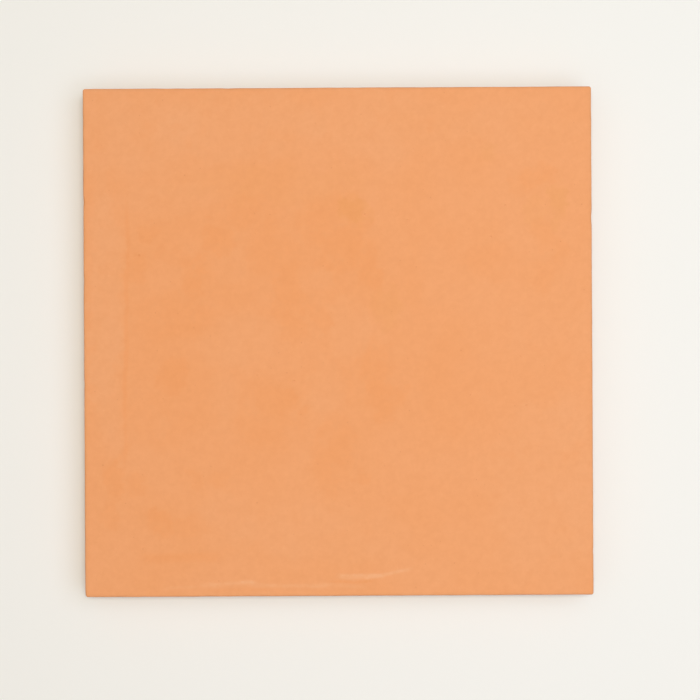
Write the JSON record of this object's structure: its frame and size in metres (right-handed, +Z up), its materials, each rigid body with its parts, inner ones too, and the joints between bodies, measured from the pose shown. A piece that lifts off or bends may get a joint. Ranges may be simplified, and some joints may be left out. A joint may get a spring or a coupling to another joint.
{
  "type": "cement-look tile",
  "caption": "Plain square cement tile: a flat slab with rounded corners and eased edges, bedded on its back to cover a floor or wall.",
  "frame": {"origin": "centre of the back face, on the surface that the tile lies on", "axes": "+Z up out of the wear face, +X and +Y along the tile's sides"},
  "size_m": [0.2, 0.2, 0.016],
  "materials": {
    "pigmented_cement": "matte"
  },
  "bodies": {
    "root": {"tile": "pigmented_cement"}
  },
  "joints": []
}
